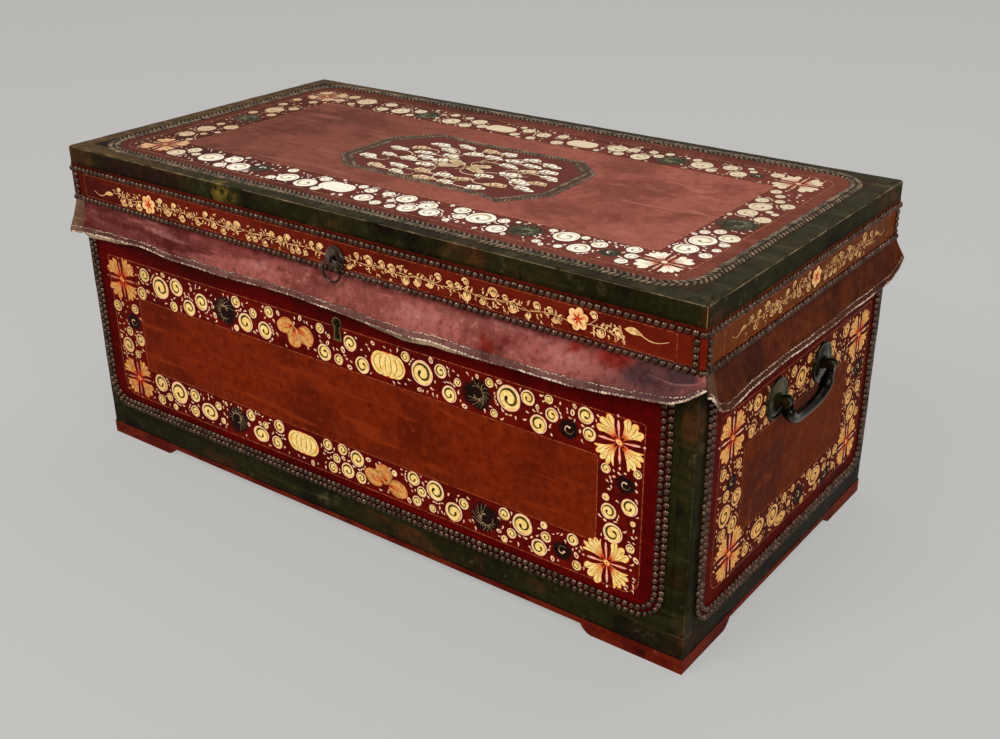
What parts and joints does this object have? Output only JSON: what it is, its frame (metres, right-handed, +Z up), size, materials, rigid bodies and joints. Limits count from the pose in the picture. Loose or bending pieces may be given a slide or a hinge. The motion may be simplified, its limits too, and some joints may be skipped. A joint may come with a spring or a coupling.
{
  "type": "leather-covered dowry chest",
  "caption": "Leather-covered, nail-studded camphor-wood chest with a hinged lid, soft leather skirt, swinging end handles, ring pull and lock.",
  "frame": {"origin": "centre of the footprint, on the ground", "axes": "+X along the front to the right as seen from the front, -Y out of the front, +Z up"},
  "size_m": [0.9788, 0.507, 0.426],
  "materials": {
    "camphor_wood": "bare, waxed",
    "painted_wood": "red-brown paint, worn",
    "red_leather": "painted and varnished",
    "green_leather": "painted and varnished",
    "skirt_leather": "painted, dry and cracked",
    "brass": "tarnished",
    "dark_bronze": "dark patina",
    "black_iron": "blackened",
    "iron": "dark"
  },
  "bodies": {
    "case": {"back_board": "camphor_wood", "back_flap": "skirt_leather", "back_leather": "red_leather", "base_rail_back": "painted_wood", "base_rail_front": "painted_wood", "base_rail_left": "painted_wood", "base_rail_right": "painted_wood", "bottom_binding": "green_leather", "bottom_board": "camphor_wood", "case_screws": "iron", "corner_binding_back_left": "green_leather", "corner_binding_back_right": "green_leather", "corner_binding_front_left": "green_leather", "corner_binding_front_right": "green_leather", "front_board": "camphor_wood", "front_leather": "red_leather", "handle_post_left_back": "dark_bronze", "handle_post_left_front": "dark_bronze", "handle_post_right_back": "dark_bronze", "handle_post_right_front": "dark_bronze", "hinge_leaf_case_left": "iron", "hinge_leaf_case_right": "iron", "hinge_pin_left": "iron", "hinge_pin_right": "iron", "keyhole_liner": "brass", "left_board": "camphor_wood", "left_leather": "red_leather", "lock_case": "brass", "lock_cover": "brass", "right_board": "camphor_wood", "right_leather": "red_leather"},
    "lid": {"back_flap_margin": "skirt_leather", "front_flap": "skirt_leather", "hinge_leaf_lid_left": "iron", "hinge_leaf_lid_right": "iron", "left_flap": "skirt_leather", "lid_band_back": "red_leather", "lid_band_front": "red_leather", "lid_band_left": "red_leather", "lid_band_right": "red_leather", "lid_board": "camphor_wood", "lid_edging_back": "green_leather", "lid_edging_front": "green_leather", "lid_edging_left": "green_leather", "lid_edging_right": "green_leather", "lid_leather": "red_leather", "lid_rail_back": "camphor_wood", "lid_rail_front": "camphor_wood", "lid_rail_left": "camphor_wood", "lid_rail_right": "camphor_wood", "lid_screws": "iron", "link_plate": "brass", "pull_plate": "brass", "pull_staple": "brass", "right_flap": "skirt_leather"},
    "pull_ring": {"pull_ring": "brass"},
    "bail_left": {"bail_left": "black_iron"},
    "bail_right": {"bail_right": "black_iron"},
    "lock_bolt": {"lock_bolt": "brass"}
  },
  "joints": [
    {"name": "lid_hinge", "type": "hinge", "parent": "case", "child": "lid", "pos_m": [0, 0.247, 0.3521], "axis": [-1, 0, 0], "range_deg": [0, 100]},
    {"name": "pull_ring_swing", "type": "hinge", "parent": "lid", "child": "pull_ring", "pos_m": [0.004, -0.25, 0.372], "axis": [-1, 0, 0], "range_deg": [-5, 165]},
    {"name": "bail_right_swing", "type": "hinge", "parent": "case", "child": "bail_right", "pos_m": [0.4818, 0, 0.256], "axis": [0, -1, 0], "range_deg": [-5, 150]},
    {"name": "bail_left_swing", "type": "hinge", "parent": "case", "child": "bail_left", "pos_m": [-0.4818, 0, 0.256], "axis": [0, 1, 0], "range_deg": [-5, 150]},
    {"name": "lock_bolt_slide", "type": "slide", "parent": "case", "child": "lock_bolt", "axis": [1, 0, 0], "range_m": [0, 0.009]}
  ]
}
